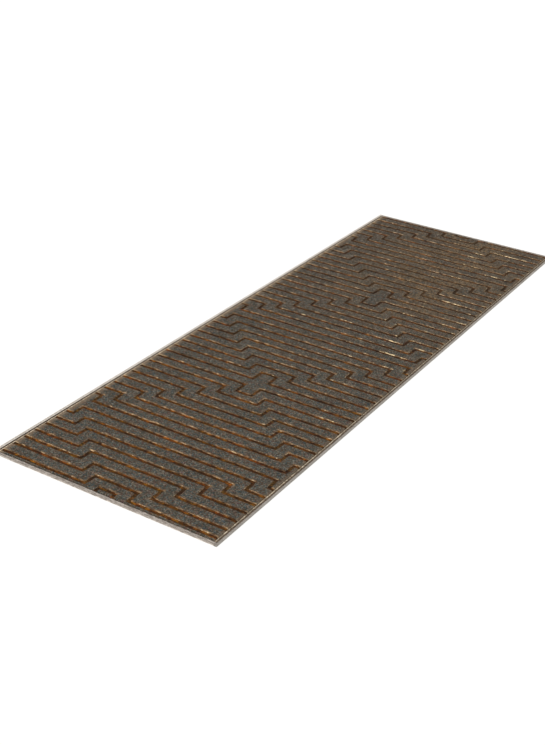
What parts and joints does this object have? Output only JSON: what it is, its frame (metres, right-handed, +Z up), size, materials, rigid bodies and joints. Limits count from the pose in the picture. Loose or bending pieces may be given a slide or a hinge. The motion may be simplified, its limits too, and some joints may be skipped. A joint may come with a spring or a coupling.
{
  "type": "runner rug",
  "caption": "Long narrow rug with low cut pile, stepped carved lines round a row of diamonds, wrapped cord long edges and tape-bound short ends.",
  "frame": {"origin": "middle of the underside, on the floor", "axes": "+X across the rug, +Y along its length, +Z up from the floor"},
  "size_m": [0.8, 2.44, 0.0062],
  "materials": {
    "high_pile": "matte cut pile of charcoal heather yarn",
    "low_pile": "low pile of rust and ochre yarn with a soft sheen",
    "ground_weave": "plain woven jute and cotton",
    "back_coat": "matte latex over a woven rib",
    "edge_cord": "twisted cotton filler cord",
    "serging_yarn": "greige yarn wrapped turn by turn",
    "selvedge_yarn": "pale gold woven edge",
    "binding_tape": "woven herringbone tape",
    "stitching_thread": "dark sewing thread"
  },
  "bodies": {
    "root": {"pile_band_01": "high_pile", "pile_band_02": "high_pile", "pile_band_03": "high_pile", "pile_band_04": "high_pile", "pile_band_05": "high_pile", "pile_band_06": "high_pile", "pile_band_07": "high_pile", "pile_band_08": "high_pile", "pile_band_09": "high_pile", "pile_band_10": "high_pile", "pile_band_11": "high_pile", "pile_band_12": "high_pile", "pile_band_13": "high_pile", "pile_band_14": "high_pile", "pile_band_15": "high_pile", "pile_band_16": "high_pile", "pile_band_17": "high_pile", "pile_band_18": "high_pile", "pile_band_19": "high_pile", "pile_band_20": "high_pile", "pile_band_21": "high_pile", "pile_band_22": "high_pile", "pile_band_23": "high_pile", "pile_band_24": "high_pile", "pile_band_25": "high_pile", "pile_band_26": "high_pile", "pile_band_27": "high_pile", "pile_band_28": "high_pile", "pile_band_29": "high_pile", "pile_band_30": "high_pile", "pile_band_31": "high_pile", "pile_band_32": "high_pile", "pile_band_33": "high_pile", "pile_band_34": "high_pile", "pile_band_35": "high_pile", "pile_band_36": "high_pile", "pile_band_37": "high_pile", "pile_band_38": "high_pile", "pile_band_39": "high_pile", "pile_band_40": "high_pile", "pile_band_41": "high_pile", "pile_band_42": "high_pile", "pile_band_43": "high_pile", "pile_band_44": "high_pile", "pile_band_45": "high_pile", "pile_band_46": "high_pile", "pile_band_47": "high_pile", "pile_end_tabs": "high_pile", "carved_line_pile": "low_pile", "ground_weave": "ground_weave", "latex_back_coat": "back_coat", "left_edge_cord": "edge_cord", "left_serging": "serging_yarn", "left_selvedge": "selvedge_yarn", "right_edge_cord": "edge_cord", "right_serging": "serging_yarn", "right_selvedge": "selvedge_yarn", "near_end_binding": "binding_tape", "far_end_binding": "binding_tape", "end_stitches": "stitching_thread"}
  },
  "joints": []
}
